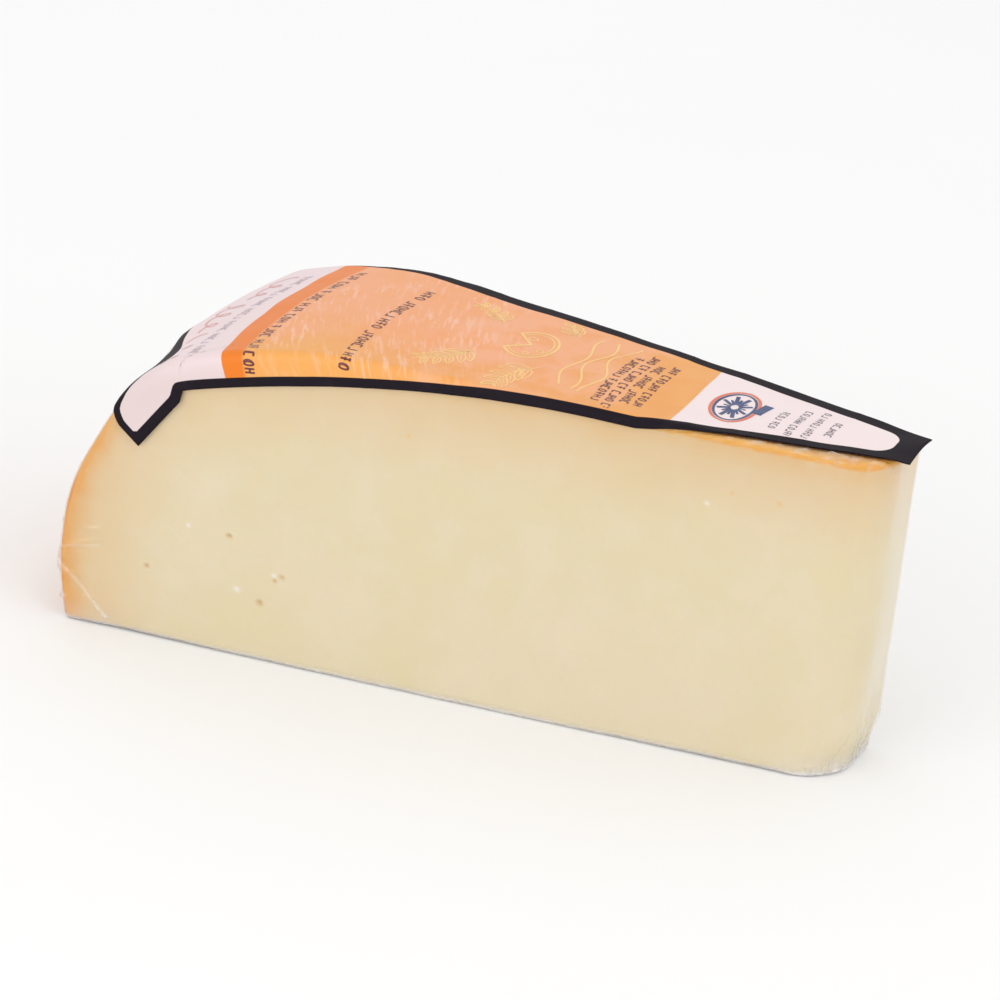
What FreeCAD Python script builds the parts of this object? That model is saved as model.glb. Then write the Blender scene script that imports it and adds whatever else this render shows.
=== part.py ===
import FreeCAD, Part
import math
import os
import Sketcher

# A retail wedge of gouda, in millimetres.  The wheel was halved flat and a slice was cut from it:
# a flat cut base, two radial cut faces, a blunt nose toward the wheel's axis, and the outer rind
# curving from the rim over the shoulder to the flat top.  A skin-tight shrink film wraps it, and a
# printed label lies on top, folded over both long edges, with one corner down on the near face.
#
# Frame: +X points to the nose, the near cut face looks to -Y, +Z is up, and the origin is at the
# centre of the footprint of the whole, on the face that it rests on.

SIZES = {
    # the cheese
    "wheel_radius": 175.5,
    "cut_height": 51.0,
    "wedge_angle": 17.6,
    "nose_distance": 51.6,
    "crown_width": 46.5,
    "crown_radius": 80.0,
    "corner_radius": 13.0,
    "side_radius": 51.0,
    "bulge_height": 12.0,
    "nose_near_radius": 8.5,
    "nose_far_radius": 1.5,
    "edge_radius": 0.9,
    # the film
    "film_thickness": 0.25,
    "pleat_radius": 0.4,
    "pleat_tip_radius": 0.1,
    "nose_pleat_length": 15.0,
    "rim_pleat_length": 9.5,
    "rim_pleat_height": 7.5,
    "rim_pleat_pitch": 2.4,
    "rim_pleat_inset": 3.0,
    # the label
    "label_thickness": 0.2,
    "label_rim_setback": 7.55,
    "label_angle": 25.6,
    "label_skew": 2.5,
    "label_tip_width": 9.9,
    "label_tip_side": 1.05,
    "label_overhang": 1.65,
    "label_tip_flat": 12.0,
    "label_headroom": 4.0,
    # where the label's borders lie on the cut faces: back from the nose or ahead of the rim,
    # and down from the top
    "fold_start_back": 37.0,
    "fold_start_drop": 1.3,
    "fold_line_radius": 205.0,
    "pinch_ahead": 19.9,
    "pinch_drop": 9.8,
    "flap_step_ahead": 19.1,
    "flap_step_drop": 11.7,
    "flap_tip_ahead": 13.1,
    "flap_tip_drop": 20.2,
    "flap_heel_ahead": 7.9,
    "flap_heel_drop": 15.2,
    "far_fold_start_ahead": 37.9,
    "far_fold_mid_ahead": 17.9,
    "far_fold_mid_drop": 8.8,
    "far_fold_end_ahead": 5.9,
    "far_fold_end_drop": 20.0,
}

NOSE_PLEATS = 7
NOSE_PLEAT_FIRST = 8.0
NOSE_PLEAT_LAST = 70.0
RIM_PLEATS = 4
RIM_PLEAT_FAN = 25.0
RIM_PLEAT_START = -42.0
PLEAT_RHYTHM = 2.4
SHORTEST_NOSE_PLEAT = 0.55
SHORTEST_RIM_PLEAT = 0.85

# An edge is eased where its two faces turn by more than this many degrees.
CREASE_ANGLE = 15.0
# Two heights are the same within this many millimetres.
SAME_HEIGHT = 0.01
# The wheel is turned this many degrees wider than the slice that is cut from it.
SPARE_TURN = 30.0

doc = FreeCAD.newDocument("gouda_wedge")


def make_sheet():
    """The driving dimensions, one row each: a name and its value."""
    sheet = doc.addObject("Spreadsheet::Sheet", "Sizes")
    for row, (alias, value) in enumerate(SIZES.items(), start=1):
        sheet.set(f"A{row}", alias)
        sheet.set(f"B{row}", str(value))
        sheet.setAlias(f"B{row}", alias)
    doc.recompute()
    return sheet


sizes = make_sheet()

# The wheel's axis stands where the footprint of the whole, with film and label, is centred on X = 0.
AXIS_X = "(Sizes.wheel_radius + Sizes.film_thickness + Sizes.nose_distance - Sizes.label_overhang) / 2"
NOSE_X = f"({AXIS_X} - Sizes.nose_distance)"
TOP_Z = "(Sizes.film_thickness + Sizes.cut_height)"
SLICE_LENGTH = "(Sizes.wheel_radius - Sizes.nose_distance)"
LABEL_LENGTH = f"({SLICE_LENGTH} + Sizes.label_overhang - Sizes.label_rim_setback)"
# The cuts run out past the rim, and the blocks that trim the label reach out past both cut faces.
CUT_LENGTH = "(Sizes.wheel_radius * 1.1)"
SIDE_STOCK = "(Sizes.wheel_radius / 3)"


def plane_of(body, role):
    """One of a body's own origin planes or axes."""
    return next(item for item in body.Origin.OriginFeatures if item.Role == role)


def sketch_on(body, role, name):
    """An empty sketch on one of the body's origin planes."""
    sketch = body.newObject("Sketcher::SketchObject", name)
    sketch.AttachmentSupport = (plane_of(body, role), [""])
    sketch.MapMode = "FlatFace"
    return sketch


def bind(sketch, name, expression, kind, *geometry):
    """A driving dimension of a sketch, tied to an expression on the sheet."""
    value = sketch.evalExpression(expression)
    value = getattr(value, "Value", value)
    if kind == "Angle":
        value = math.radians(value)
    index = sketch.addConstraint(Sketcher.Constraint(kind, *geometry, value))
    sketch.renameConstraint(index, name)
    sketch.setExpression(f"Constraints.{name}", expression)


def place(item, x_expression="0", y_expression="0", z_expression="0"):
    """Ties the position of an object to expressions on the sheet."""
    item.setExpression(".Placement.Base.x", x_expression)
    item.setExpression(".Placement.Base.y", y_expression)
    item.setExpression(".Placement.Base.z", z_expression)


def polyline(sketch, points):
    """A closed chain of lines through 2-D points; returns the lines' indices."""
    corners = [FreeCAD.Vector(x, y, 0) for x, y in points]
    lines = []
    for first, second in zip(corners, corners[1:] + corners[:1]):
        lines.append(sketch.addGeometry(Part.LineSegment(first, second)))
    for here, after in zip(lines, lines[1:] + lines[:1]):
        sketch.addConstraint(Sketcher.Constraint("Coincident", here, 2, after, 1))
    return lines


def rim_arc_angles(grow):
    """Where the three arcs of the rim's profile meet, for the first shape of the sketch."""
    side_centre = FreeCAD.Vector(sizes.wheel_radius - sizes.side_radius, sizes.bulge_height, 0)
    crown_centre = FreeCAD.Vector(sizes.wheel_radius - sizes.crown_width,
                                  sizes.cut_height - sizes.crown_radius, 0)
    reach_side = sizes.side_radius - sizes.corner_radius
    reach_crown = sizes.crown_radius - sizes.corner_radius
    between = side_centre - crown_centre
    gap = between.Length
    along = (reach_crown ** 2 - reach_side ** 2 + gap ** 2) / (2 * gap)
    across = math.sqrt(reach_crown ** 2 - along ** 2)
    unit = between / gap
    corner_centre = crown_centre + unit * along + FreeCAD.Vector(unit.y, -unit.x, 0) * across
    to_corner_side = corner_centre - side_centre
    to_corner_crown = corner_centre - crown_centre
    base_angle = -math.asin((sizes.bulge_height + grow) / (sizes.side_radius + grow))
    side_angle = math.atan2(to_corner_side.y, to_corner_side.x)
    crown_angle = math.atan2(to_corner_crown.y, to_corner_crown.x)
    return side_centre, corner_centre, crown_centre, base_angle, side_angle, crown_angle


def rim_profile(body, grow, grow_expression):
    """Half section of the wheel: base, bulging side, shoulder, gently domed crown, flat top."""
    sketch = sketch_on(body, "XZ_Plane", body.Name + "_rim_profile")
    side_c, corner_c, crown_c, base_angle, side_angle, crown_angle = rim_arc_angles(grow)
    plane_normal = FreeCAD.Vector(0, 0, 1)

    def arc(centre, radius, start, end):
        circle = Part.Circle(centre, plane_normal, radius + grow)
        return sketch.addGeometry(Part.ArcOfCircle(circle, start, end))

    side = arc(side_c, sizes.side_radius, base_angle, side_angle)
    corner = arc(corner_c, sizes.corner_radius, side_angle, crown_angle)
    crown = arc(crown_c, sizes.crown_radius, crown_angle, math.pi / 2)
    base_end = sketch.getPoint(side, 1)
    top_start = sketch.getPoint(crown, 2)
    on_axis_top = FreeCAD.Vector(0, top_start.y, 0)
    on_axis_base = FreeCAD.Vector(0, base_end.y, 0)
    top = sketch.addGeometry(Part.LineSegment(top_start, on_axis_top))
    axis = sketch.addGeometry(Part.LineSegment(on_axis_top, on_axis_base))
    base = sketch.addGeometry(Part.LineSegment(on_axis_base, base_end))

    sketch.addConstraint([
        Sketcher.Constraint("Tangent", side, 2, corner, 1),
        Sketcher.Constraint("Tangent", corner, 2, crown, 1),
        Sketcher.Constraint("Tangent", crown, 2, top, 1),
        Sketcher.Constraint("Coincident", top, 2, axis, 1),
        Sketcher.Constraint("Coincident", axis, 2, base, 1),
        Sketcher.Constraint("Coincident", base, 2, side, 1),
        Sketcher.Constraint("Horizontal", top),
        Sketcher.Constraint("Horizontal", base),
        Sketcher.Constraint("PointOnObject", axis, 1, -2),
        Sketcher.Constraint("PointOnObject", axis, 2, -2),
    ])
    bind(sketch, "side_radius", f"Sizes.side_radius + {grow_expression}", "Radius", side)
    bind(sketch, "corner_radius", f"Sizes.corner_radius + {grow_expression}", "Radius", corner)
    bind(sketch, "crown_radius", f"Sizes.crown_radius + {grow_expression}", "Radius", crown)
    bind(sketch, "side_centre_x", "Sizes.wheel_radius - Sizes.side_radius", "DistanceX", -1, 1, side, 3)
    bind(sketch, "side_centre_z", "Sizes.bulge_height", "DistanceY", -1, 1, side, 3)
    bind(sketch, "crown_start_x", "Sizes.wheel_radius - Sizes.crown_width", "DistanceX", -1, 1, crown, 3)
    bind(sketch, "height", f"Sizes.cut_height + 2 * ({grow_expression})", "DistanceY", axis, 2, axis, 1)
    bind(sketch, "base_drop", grow_expression, "DistanceY", base, 1, -1, 1)
    return sketch


def slice_plan(body, grow_expression):
    """Plan of the slice inside a frame: the frame's area is what the two cuts and the nose take off."""
    sketch = sketch_on(body, "XY_Plane", body.Name + "_slice_plan")
    half = math.radians(sizes.wedge_angle) / 2
    back = sizes.evalExpression(CUT_LENGTH)
    nose = sizes.nose_distance
    back_y = back * math.tan(half)
    nose_y = nose * math.tan(half)
    margin = sizes.wheel_radius

    lines = {}

    def line(name, start, end):
        geometry = Part.LineSegment(FreeCAD.Vector(*start, 0), FreeCAD.Vector(*end, 0))
        lines[name] = sketch.addGeometry(geometry)

    def corner_arc(radius, side):
        centre_x = nose + radius
        centre_y = side * (centre_x * math.tan(half) - radius / math.cos(half))
        circle = Part.Circle(FreeCAD.Vector(centre_x, centre_y, 0), FreeCAD.Vector(0, 0, 1), radius)
        face_angle = math.pi / 2 + half
        if side > 0:
            return sketch.addGeometry(Part.ArcOfCircle(circle, face_angle, math.pi))
        return sketch.addGeometry(Part.ArcOfCircle(circle, -math.pi, -face_angle))

    line("near", (nose + sizes.nose_near_radius, nose_y), (back, back_y))
    line("nose", (nose, nose_y / 2), (nose, -nose_y / 2))
    line("far", (nose + sizes.nose_far_radius, -nose_y), (back, -back_y))
    line("back", (back, -back_y), (back, back_y))
    near_arc = corner_arc(sizes.nose_near_radius, 1)
    far_arc = corner_arc(sizes.nose_far_radius, -1)

    sketch.addConstraint([
        Sketcher.Constraint("Tangent", lines["near"], 1, near_arc, 1),
        Sketcher.Constraint("Tangent", near_arc, 2, lines["nose"], 1),
        Sketcher.Constraint("Tangent", lines["nose"], 2, far_arc, 1),
        Sketcher.Constraint("Tangent", far_arc, 2, lines["far"], 1),
        Sketcher.Constraint("Coincident", lines["far"], 2, lines["back"], 1),
        Sketcher.Constraint("Coincident", lines["back"], 2, lines["near"], 2),
        Sketcher.Constraint("Vertical", lines["nose"]),
        Sketcher.Constraint("Vertical", lines["back"]),
    ])
    grown = f"({grow_expression})"
    back_half = (f"{CUT_LENGTH} * tan(Sizes.wedge_angle / 2 * 1deg)"
                 f" + {grown} / cos(Sizes.wedge_angle / 2 * 1deg)")
    bind(sketch, "back_x", CUT_LENGTH, "DistanceX", -1, 1, lines["back"], 1)
    bind(sketch, "near_back_y", back_half, "DistanceY", -1, 1, lines["near"], 2)
    bind(sketch, "far_back_y", back_half, "DistanceY", lines["far"], 2, -1, 1)
    bind(sketch, "near_angle", "Sizes.wedge_angle / 2 * 1deg", "Angle", lines["near"])
    bind(sketch, "far_angle", "-Sizes.wedge_angle / 2 * 1deg", "Angle", lines["far"])
    bind(sketch, "nose_x", f"Sizes.nose_distance - {grown}", "DistanceX", -1, 1, lines["nose"], 1)
    bind(sketch, "near_radius", f"Sizes.nose_near_radius + {grown}", "Radius", near_arc)
    bind(sketch, "far_radius", f"Sizes.nose_far_radius + {grown}", "Radius", far_arc)
    frame = polyline(sketch, [(-margin, -2 * margin), (2 * margin, -2 * margin),
                              (2 * margin, 2 * margin), (-margin, 2 * margin)])
    for side in frame:
        sketch.addConstraint(Sketcher.Constraint("Block", side))
    return sketch


def creases_to_ease(shape):
    """Names of the edges where two faces meet at a crease; those of the cut base stay crisp."""
    names = []
    base = min(vertex.Z for vertex in shape.Vertexes)
    for number, edge in enumerate(shape.Edges, start=1):
        if all(abs(vertex.Z - base) < SAME_HEIGHT for vertex in edge.Vertexes):
            continue
        middle = edge.valueAt((edge.FirstParameter + edge.LastParameter) / 2)
        normals = []
        for face in shape.ancestorsOfType(edge, Part.Face):
            u, v = face.Surface.parameter(middle)
            normals.append(face.normalAt(u, v))
        if len(normals) == 2 and math.degrees(normals[0].getAngle(normals[1])) > CREASE_ANGLE:
            names.append(f"Edge{number}")
    return names


def wedge_body(name, grow_expression):
    """The wedge, grown outward on every face: a turned wheel, cut by the slice's plan, edges eased."""
    body = doc.addObject("PartDesign::Body", name)
    grow = sizes.evalExpression(grow_expression)
    wheel = body.newObject("PartDesign::Revolution", name + "_wheel")
    wheel.Profile = rim_profile(body, grow, grow_expression)
    wheel.ReferenceAxis = (wheel.Profile[0], ["V_Axis"])
    wheel.Midplane = True
    wheel.setExpression("Angle", f"Sizes.wedge_angle + {SPARE_TURN}")
    slicing = body.newObject("PartDesign::Pocket", name + "_slicing")
    slicing.Profile = slice_plan(body, grow_expression)
    slicing.Type = "ThroughAll"
    slicing.Midplane = True
    doc.recompute()
    easing = body.newObject("PartDesign::Fillet", name + "_easing")
    easing.Base = (slicing, creases_to_ease(slicing.Shape))
    easing.setExpression("Radius", f"Sizes.edge_radius + {grow_expression}")
    # the sketch's +X runs out from the wheel's axis, so the body is turned to face the rim to -X
    body.Placement = FreeCAD.Placement(FreeCAD.Vector(), FreeCAD.Rotation(FreeCAD.Vector(0, 0, 1), 180))
    place(body, AXIS_X, "0", "Sizes.film_thickness")
    doc.recompute()
    return body


def boolean(kind, name, base, tool):
    """A boolean of two objects: kind is Part::Cut, Part::Fuse or Part::Common."""
    result = doc.addObject(kind, name)
    result.Base = base
    result.Tool = tool
    return result


def pleat(name, foot, direction):
    """A gathered pleat of film: a slender cone lying on the skin, its thick end at the foot."""
    cone = doc.addObject("Part::Cone", name)
    cone.setExpression("Radius1", "Sizes.pleat_radius")
    cone.setExpression("Radius2", "Sizes.pleat_tip_radius")
    cone.Placement = FreeCAD.Placement(FreeCAD.Vector(), direction)
    place(cone, *foot)
    return cone


def nose_pleats():
    """Upright pleats round the foot of the nose's broad corner, where the film was gathered."""
    made = []
    centre_x = "(Sizes.nose_distance + Sizes.nose_near_radius)"
    centre_y = (f"({centre_x} * tan(Sizes.wedge_angle / 2 * 1deg)"
                " - Sizes.nose_near_radius / cos(Sizes.wedge_angle / 2 * 1deg))")
    skin_radius = "(Sizes.nose_near_radius + Sizes.film_thickness)"
    for number in range(NOSE_PLEATS):
        turn = NOSE_PLEAT_FIRST + (NOSE_PLEAT_LAST - NOSE_PLEAT_FIRST) * number / (NOSE_PLEATS - 1)
        foot = (
            f"{AXIS_X} - {centre_x} + {skin_radius} * cos({turn} * 1deg)",
            f"-{centre_y} - {skin_radius} * sin({turn} * 1deg)",
            "Sizes.film_thickness + Sizes.pleat_radius",
        )
        share = math.sin(PLEAT_RHYTHM * number) ** 2
        uneven = SHORTEST_NOSE_PLEAT + (1 - SHORTEST_NOSE_PLEAT) * share
        cone = pleat(f"nose_pleat_{number}", foot, FreeCAD.Rotation())
        cone.setExpression("Height", f"Sizes.nose_pleat_length * {uneven:.3f}")
        made.append(cone)
    return made


def rim_pleats(side):
    """A fan of pleats on one cut face, spreading from the rim; side is -1 near, +1 far."""
    made = []
    half = math.radians(sizes.wedge_angle / 2)
    reach = "(Sizes.wheel_radius - Sizes.rim_pleat_inset)"
    skin = "Sizes.film_thickness"
    for number in range(RIM_PLEATS):
        climb = math.radians(RIM_PLEAT_START + RIM_PLEAT_FAN * number)
        run = FreeCAD.Vector(math.cos(climb) * math.cos(half), -side * math.cos(climb) * math.sin(half),
                             math.sin(climb))
        foot = (
            f"{AXIS_X} - {reach} * cos(Sizes.wedge_angle / 2 * 1deg)"
            f" + {skin} * sin(Sizes.wedge_angle / 2 * 1deg)",
            f"{side} * ({reach} * sin(Sizes.wedge_angle / 2 * 1deg)"
            f" + {skin} * cos(Sizes.wedge_angle / 2 * 1deg))",
            f"Sizes.film_thickness + Sizes.rim_pleat_height + {number} * Sizes.rim_pleat_pitch",
        )
        name = f"rim_pleat_{'far' if side > 0 else 'near'}_{number}"
        cone = pleat(name, foot, FreeCAD.Rotation(FreeCAD.Vector(0, 0, 1), run))
        uneven = SHORTEST_RIM_PLEAT if number % 2 else 1
        cone.setExpression("Height", f"Sizes.rim_pleat_length * {uneven}")
        made.append(cone)
    return made


def film_skin(cheese):
    """The shrink film: the grown wedge with its gathered pleats, hollowed by the cheese itself."""
    outside = wedge_body("film_outside", "Sizes.film_thickness")
    gathered = doc.addObject("Part::MultiFuse", "film_gathered")
    gathered.Shapes = [outside] + nose_pleats() + rim_pleats(-1) + rim_pleats(1)
    return boolean("Part::Cut", "shrink_film", gathered, cheese), outside


def label_sheet_plan():
    """The label's outline seen from above: a long tapered sheet, blunt at the tip, over its full depth."""
    body = doc.addObject("PartDesign::Body", "label_plan")
    sketch = sketch_on(body, "XY_Plane", "label_outline")
    tip = sizes.label_tip_width / 2
    length = sizes.evalExpression(LABEL_LENGTH)
    wide = tip + length * math.tan(math.radians(sizes.label_angle / 2))
    first_side, end, second_side, tip_line = polyline(sketch, [
        (0, -tip), (length, -wide), (length, wide), (0, tip)])
    sketch.addConstraint([
        Sketcher.Constraint("Vertical", tip_line),
        Sketcher.Constraint("Symmetric", tip_line, 1, tip_line, 2, -1, 1),
        Sketcher.Constraint("Symmetric", end, 1, end, 2, -1),
    ])
    end_width = f"Sizes.label_tip_width + 2 * {LABEL_LENGTH} * tan(Sizes.label_angle / 2 * 1deg)"
    bind(sketch, "tip_width", "Sizes.label_tip_width", "DistanceY", tip_line, 2, tip_line, 1)
    bind(sketch, "length", LABEL_LENGTH, "DistanceX", -1, 1, end, 1)
    bind(sketch, "end_width", end_width, "DistanceY", end, 1, end, 2)
    pad = body.newObject("PartDesign::Pad", "label_depth")
    pad.Profile = sketch
    pad.setExpression("Length", f"{TOP_Z} + Sizes.label_headroom")
    turned = FreeCAD.Rotation(FreeCAD.Vector(0, 0, 1), 180 + sizes.label_skew)
    body.Placement = FreeCAD.Placement(FreeCAD.Vector(), turned)
    place(body, f"{NOSE_X} + Sizes.label_overhang", "Sizes.label_tip_side", "0")
    return body


def arc_over(start, end, radius):
    """A shallow arc that bulges upward, drawn from its right-hand end to its left-hand end."""
    left = FreeCAD.Vector(*start, 0)
    right = FreeCAD.Vector(*end, 0)
    chord = right - left
    depth = math.sqrt(radius ** 2 - (chord.Length / 2) ** 2)
    unit = chord / chord.Length
    centre = (left + right) / 2 + FreeCAD.Vector(unit.y, -unit.x, 0) * depth
    circle = Part.Circle(centre, FreeCAD.Vector(0, 0, 1), radius)
    from_right = right - centre
    from_left = left - centre
    return Part.ArcOfCircle(circle, math.atan2(from_right.y, from_right.x),
                            math.atan2(from_left.y, from_left.x))


def side_reach(name, border, reversed_pad):
    """What the label covers seen from one side: all above its border line, out past that cut face.

    The border runs from the nose end to the rim end.  Each of its points is two names on the sheet:
    the distance back from the nose and the drop below the top.  Its first stretch is a shallow arc
    where the border is curved, else a line.
    """
    curved = name == "near_reach"
    body = doc.addObject("PartDesign::Body", name)
    sketch = sketch_on(body, "XZ_Plane", name + "_outline")
    spots = [(sizes.evalExpression(back), -sizes.evalExpression(drop)) for back, drop in border]
    front = sizes.label_tip_flat
    high = sizes.label_headroom
    corners = [(front, spots[0][1])] + spots + [(spots[-1][0], high), (front, high)]
    segments = []
    for number, (start, end) in enumerate(zip(corners, corners[1:] + corners[:1])):
        if curved and number == 1:
            segments.append((sketch.addGeometry(arc_over(start, end, sizes.fold_line_radius)), 2, 1))
        else:
            line = Part.LineSegment(FreeCAD.Vector(*start, 0), FreeCAD.Vector(*end, 0))
            segments.append((sketch.addGeometry(line), 1, 2))
    for here, after in zip(segments, segments[1:] + segments[:1]):
        sketch.addConstraint(Sketcher.Constraint("Coincident", here[0], here[2], after[0], after[1]))
    # segment 0 leads along to the border; segment n starts at the border's point n - 1
    for number, (back, drop) in enumerate(border, start=1):
        piece, start, end = segments[number]
        bind(sketch, f"back_{number}", back, "DistanceX", -1, 1, piece, start)
        bind(sketch, f"drop_{number}", drop, "DistanceY", piece, start, -1, 1)
    last = len(border) + 1
    sketch.addConstraint([
        Sketcher.Constraint("Horizontal", segments[0][0]),
        Sketcher.Constraint("Vertical", segments[last - 1][0]),
        Sketcher.Constraint("Horizontal", segments[last][0]),
        Sketcher.Constraint("Vertical", segments[last + 1][0]),
    ])
    bind(sketch, "front", "Sizes.label_tip_flat", "DistanceX", -1, 1, segments[0][0], 1)
    bind(sketch, "headroom", "Sizes.label_headroom", "DistanceY", -1, 1, segments[last][0], 1)
    if curved:
        bind(sketch, "fold_line_radius", "Sizes.fold_line_radius", "Radius", segments[1][0])
    pad = body.newObject("PartDesign::Pad", name + "_pad")
    pad.Profile = sketch
    pad.Reversed = reversed_pad
    pad.setExpression("Length", SIDE_STOCK)
    body.Placement = FreeCAD.Placement(FreeCAD.Vector(), FreeCAD.Rotation(FreeCAD.Vector(0, 0, 1), 180))
    place(body, NOSE_X, "0", TOP_Z)
    return body


def ahead_of_rim(spot):
    """How far back from the nose a named spot of the border is, from its place ahead of the rim."""
    return f"({SLICE_LENGTH} - Sizes.{spot}_ahead)"


def printed_label(film_outside):
    """The label: a thin shell laid over the film, trimmed to its outline, with a flat overhanging tip."""
    outer = wedge_body("label_outside", "(Sizes.film_thickness + Sizes.label_thickness)")
    near_border = [("Sizes.fold_start_back", "Sizes.fold_start_drop"),
                   (ahead_of_rim("pinch"), "Sizes.pinch_drop"),
                   (ahead_of_rim("flap_step"), "Sizes.flap_step_drop"),
                   (ahead_of_rim("flap_tip"), "Sizes.flap_tip_drop"),
                   (ahead_of_rim("flap_heel"), "Sizes.flap_heel_drop")]
    far_border = [(ahead_of_rim("far_fold_start"), "Sizes.fold_start_drop"),
                  (ahead_of_rim("far_fold_mid"), "Sizes.far_fold_mid_drop"),
                  (ahead_of_rim("far_fold_end"), "Sizes.far_fold_end_drop")]
    reach = boolean("Part::Fuse", "label_reach", side_reach("near_reach", near_border, True),
                    side_reach("far_reach", far_border, False))
    plan = label_sheet_plan()
    covered = boolean("Part::Common", "label_covered", reach, plan)
    laid = boolean("Part::Common", "label_laid", outer, covered)
    sheet = boolean("Part::Cut", "label_sheet", laid, film_outside)

    slab = doc.addObject("Part::Box", "tip_slab")
    slab.setExpression("Length", "Sizes.label_tip_flat + Sizes.label_overhang * 2")
    slab.setExpression("Width", SIDE_STOCK)
    slab.setExpression("Height", "Sizes.label_thickness")
    place(slab, f"{NOSE_X} - Sizes.label_tip_flat", f"-{SIDE_STOCK} / 2",
          f"{TOP_Z} + Sizes.film_thickness")
    tip = boolean("Part::Common", "label_tip", slab, plan)
    return boolean("Part::Fuse", "top_label", sheet, tip)


def check_and_export(nodes):
    """Stops on any failed object or bad shape, then writes one STEP file for each node."""
    for item in doc.Objects:
        if "Invalid" in item.State or "Error" in item.State:
            raise RuntimeError(f"{item.Name} failed: {item.State}")
    for node in nodes:
        if node.Shape.isNull() or not node.Shape.isValid() or len(node.Shape.Solids) != 1:
            raise RuntimeError(f"{node.Name} is not one valid solid")
    os.makedirs("parts", exist_ok=True)
    for node in nodes:
        node.Shape.exportStep(f"parts/{node.Label}.step")
        print(node.Label, round(node.Shape.Volume, 2), "cubic mm")


cheese_wedge = wedge_body("cheese_wedge", "0")
shrink_film, film_outside = film_skin(cheese_wedge)
top_label = printed_label(film_outside)
doc.recompute()
check_and_export([cheese_wedge, shrink_film, top_label])
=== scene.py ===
from math import asin, atan2, cos, hypot, pi, radians, sin, sqrt, tan
import bpy
import bmesh
import numpy as np
from mathutils import Matrix, Vector


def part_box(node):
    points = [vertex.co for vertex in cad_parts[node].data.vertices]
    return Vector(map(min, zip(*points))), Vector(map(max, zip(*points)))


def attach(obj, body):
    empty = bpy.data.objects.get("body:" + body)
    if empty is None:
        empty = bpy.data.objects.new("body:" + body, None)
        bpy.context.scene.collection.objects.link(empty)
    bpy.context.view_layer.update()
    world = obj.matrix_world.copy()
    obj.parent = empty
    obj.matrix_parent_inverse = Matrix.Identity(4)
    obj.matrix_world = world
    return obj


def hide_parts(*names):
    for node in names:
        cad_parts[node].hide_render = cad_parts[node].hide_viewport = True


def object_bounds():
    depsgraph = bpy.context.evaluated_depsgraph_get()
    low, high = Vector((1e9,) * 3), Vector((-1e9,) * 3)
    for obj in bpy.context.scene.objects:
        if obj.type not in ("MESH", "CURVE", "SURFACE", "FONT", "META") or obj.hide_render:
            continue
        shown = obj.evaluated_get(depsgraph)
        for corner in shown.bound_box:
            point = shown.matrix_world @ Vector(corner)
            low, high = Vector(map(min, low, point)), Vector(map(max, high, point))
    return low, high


# A wedge of gouda in clear shrink film with a printed label.  Lengths are in millimetres until a
# mesh is made; the frame's own are metres.

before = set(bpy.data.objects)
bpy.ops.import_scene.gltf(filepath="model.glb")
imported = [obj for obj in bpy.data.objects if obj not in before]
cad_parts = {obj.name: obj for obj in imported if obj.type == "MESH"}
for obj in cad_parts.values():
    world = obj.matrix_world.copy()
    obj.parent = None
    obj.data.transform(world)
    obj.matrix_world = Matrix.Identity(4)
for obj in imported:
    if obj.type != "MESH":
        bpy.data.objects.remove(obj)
cad_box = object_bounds()
MM = 0.001

# ---- sizes of the wedge
WHEEL_RADIUS = 175.5
CUT_HEIGHT = 51.0
HALF_ANGLE = radians(17.6 / 2)
NOSE_DISTANCE = 51.6
CROWN_START = WHEEL_RADIUS - 46.5
CROWN_RADIUS = 80.0
CORNER_RADIUS = 13.0
SIDE_RADIUS = 51.0
BULGE_HEIGHT = 12.0
NOSE_NEAR_RADIUS = 8.5
NOSE_FAR_RADIUS = 1.5
EDGE_EASE = 0.9
BASE_EASE = 0.35
# how deep the near shoulder is pressed in, and how deep the foot of the nose is worn
PRESSED_DEPTH = 0.9
WORN_DEPTH = 1.0
# the film's outer face and the film as drawn, above the cheese
FILM = 0.25
FILM_DRAWN = FILM - 0.06
# the label above the film, then its upper face and its ink above its under face
LABEL_GAP = 0.03
LABEL_THICKNESS = 0.15
INK_HEIGHT = 0.175

wedge_low, wedge_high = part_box("cheese_wedge")
NOSE_X = wedge_high.x / MM
BASE_Z = wedge_low.z / MM
AXIS_X = NOSE_X + NOSE_DISTANCE
TOP_Z = BASE_Z + CUT_HEIGHT
SIN, COS = sin(HALF_ANGLE), cos(HALF_ANGLE)


# ---- shared small tools
def smooth(value, start, end):
    """0 before start, 1 after end, a soft S between."""
    t = np.clip((value - start) / (end - start), 0, 1)
    return t * t * (3 - 2 * t)


def wander(points, wavelength, seed, waves=14, stretch=(1, 1, 1)):
    """A smooth uneven field, about -1 to 1, with bumps about one wavelength apart."""
    rng = np.random.default_rng(seed)
    total = np.zeros(len(points))
    scaled = points * np.array(stretch)
    for _ in range(waves):
        direction = rng.normal(size=3)
        direction /= np.linalg.norm(direction)
        rate = 2 * pi / (wavelength * rng.uniform(0.65, 1.5))
        total += np.sin(scaled @ direction * rate + rng.uniform(0, 2 * pi))
    return total / sqrt(waves / 2)


def ridges(points, wavelength, seed, stretch=(1, 1, 1), sharpness=3.0):
    """Narrow crests with flat ground between them, 0 to 1."""
    return np.clip(1 - np.abs(wander(points, wavelength, seed, 9, stretch)), 0, 1) ** sharpness


def eased_max(first, second, radius):
    """The larger of two distances, with the crease between them rounded off."""
    a = np.maximum(first + radius, 0)
    b = np.maximum(second + radius, 0)
    return np.minimum(np.maximum(first, second), -radius) + np.hypot(a, b)


# ---- the rim's profile
# centres of the side's arc and of the crown's arc
SIDE_C = np.array([WHEEL_RADIUS - SIDE_RADIUS, BULGE_HEIGHT])
CROWN_C = np.array([CROWN_START, CUT_HEIGHT - CROWN_RADIUS])


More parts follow.
